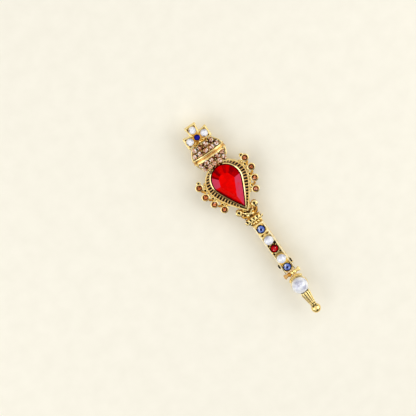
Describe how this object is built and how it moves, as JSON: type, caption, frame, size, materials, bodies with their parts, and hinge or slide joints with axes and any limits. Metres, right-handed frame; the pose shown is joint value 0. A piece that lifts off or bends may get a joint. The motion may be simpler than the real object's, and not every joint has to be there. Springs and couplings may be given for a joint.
{
  "type": "hat pin",
  "caption": "Sceptre-shaped hat pin with a jewelled cross, orb, pear stone and pearl-set staff, and a hinged pin stem with a turning safety catch behind.",
  "frame": {"origin": "on the surface that the pin lies on, under the middle of its length and width", "axes": "+X across the pin, +Y along the sceptre towards the cross, +Z out of its jewelled face"},
  "size_m": [0.0228, 0.084, 0.011],
  "materials": {
    "gold_plate": "polished gold plate on a cast base",
    "gilt_steel": "gold-plated steel wire",
    "pearl": "coated imitation pearl",
    "ruby_glass": "faceted, foil backed",
    "garnet_glass": "faceted, foil backed",
    "sapphire_glass": "faceted, foil backed",
    "light_sapphire_glass": "faceted, foil backed",
    "crystal_glass": "faceted, foil backed",
    "champagne_glass": "faceted, foil backed"
  },
  "bodies": {
    "sceptre": {"tip_ball": "gold_plate", "neck_ring": "gold_plate", "fluted_taper": "gold_plate", "large_pearl_cup": "gold_plate", "large_pearl": "pearl", "crossbar": "gold_plate", "staff_channel": "gold_plate", "lower_sapphire_collet": "gold_plate", "lower_sapphire": "light_sapphire_glass", "lower_pearl_seat": "gold_plate", "lower_pearl": "pearl", "garnet_collet": "gold_plate", "garnet": "garnet_glass", "upper_pearl_seat": "gold_plate", "upper_pearl": "pearl", "staff_spacer": "gold_plate", "upper_sapphire_collet": "gold_plate", "upper_sapphire": "light_sapphire_glass", "left_leaf": "gold_plate", "right_leaf": "gold_plate", "leaf_ruff": "gold_plate", "scroll_collar": "gold_plate", "pear_bezel": "gold_plate", "pear_stone": "ruby_glass", "ribbed_frame": "gold_plate", "left_side_collets": "gold_plate", "left_side_stone_1": "champagne_glass", "left_side_stone_2": "champagne_glass", "left_side_stone_3": "champagne_glass", "left_side_stone_4": "champagne_glass", "right_side_collets": "gold_plate", "right_side_stone_1": "champagne_glass", "right_side_stone_2": "champagne_glass", "right_side_stone_3": "champagne_glass", "right_side_stone_4": "champagne_glass", "orb_shell": "gold_plate", "orb_band": "gold_plate", "orb_stone_row_1": "champagne_glass", "orb_stone_row_2": "champagne_glass", "orb_stone_row_3": "champagne_glass", "orb_stone_row_4": "champagne_glass", "cross": "gold_plate", "cross_crystal_top": "crystal_glass", "cross_crystal_left": "crystal_glass", "cross_crystal_right": "crystal_glass", "cross_sapphire": "sapphire_glass", "back_bar": "gold_plate", "hinge_bracket": "gold_plate", "hinge_rivet": "gilt_steel", "catch_bracket": "gold_plate"},
    "pin": {"pin_stem": "gilt_steel"},
    "rotor": {"catch_rotor": "gold_plate"}
  },
  "joints": [
    {"name": "pin_hinge", "type": "hinge", "parent": "sceptre", "child": "pin", "pos_m": [0, 0.02058, 0.00147], "axis": [1, 0, 0], "range_deg": [0, 110]},
    {"name": "catch_turn", "type": "hinge", "parent": "sceptre", "child": "rotor", "pos_m": [0, -0.01997, 0.00147], "axis": [0, 1, 0], "range_deg": [0, 95]}
  ]
}
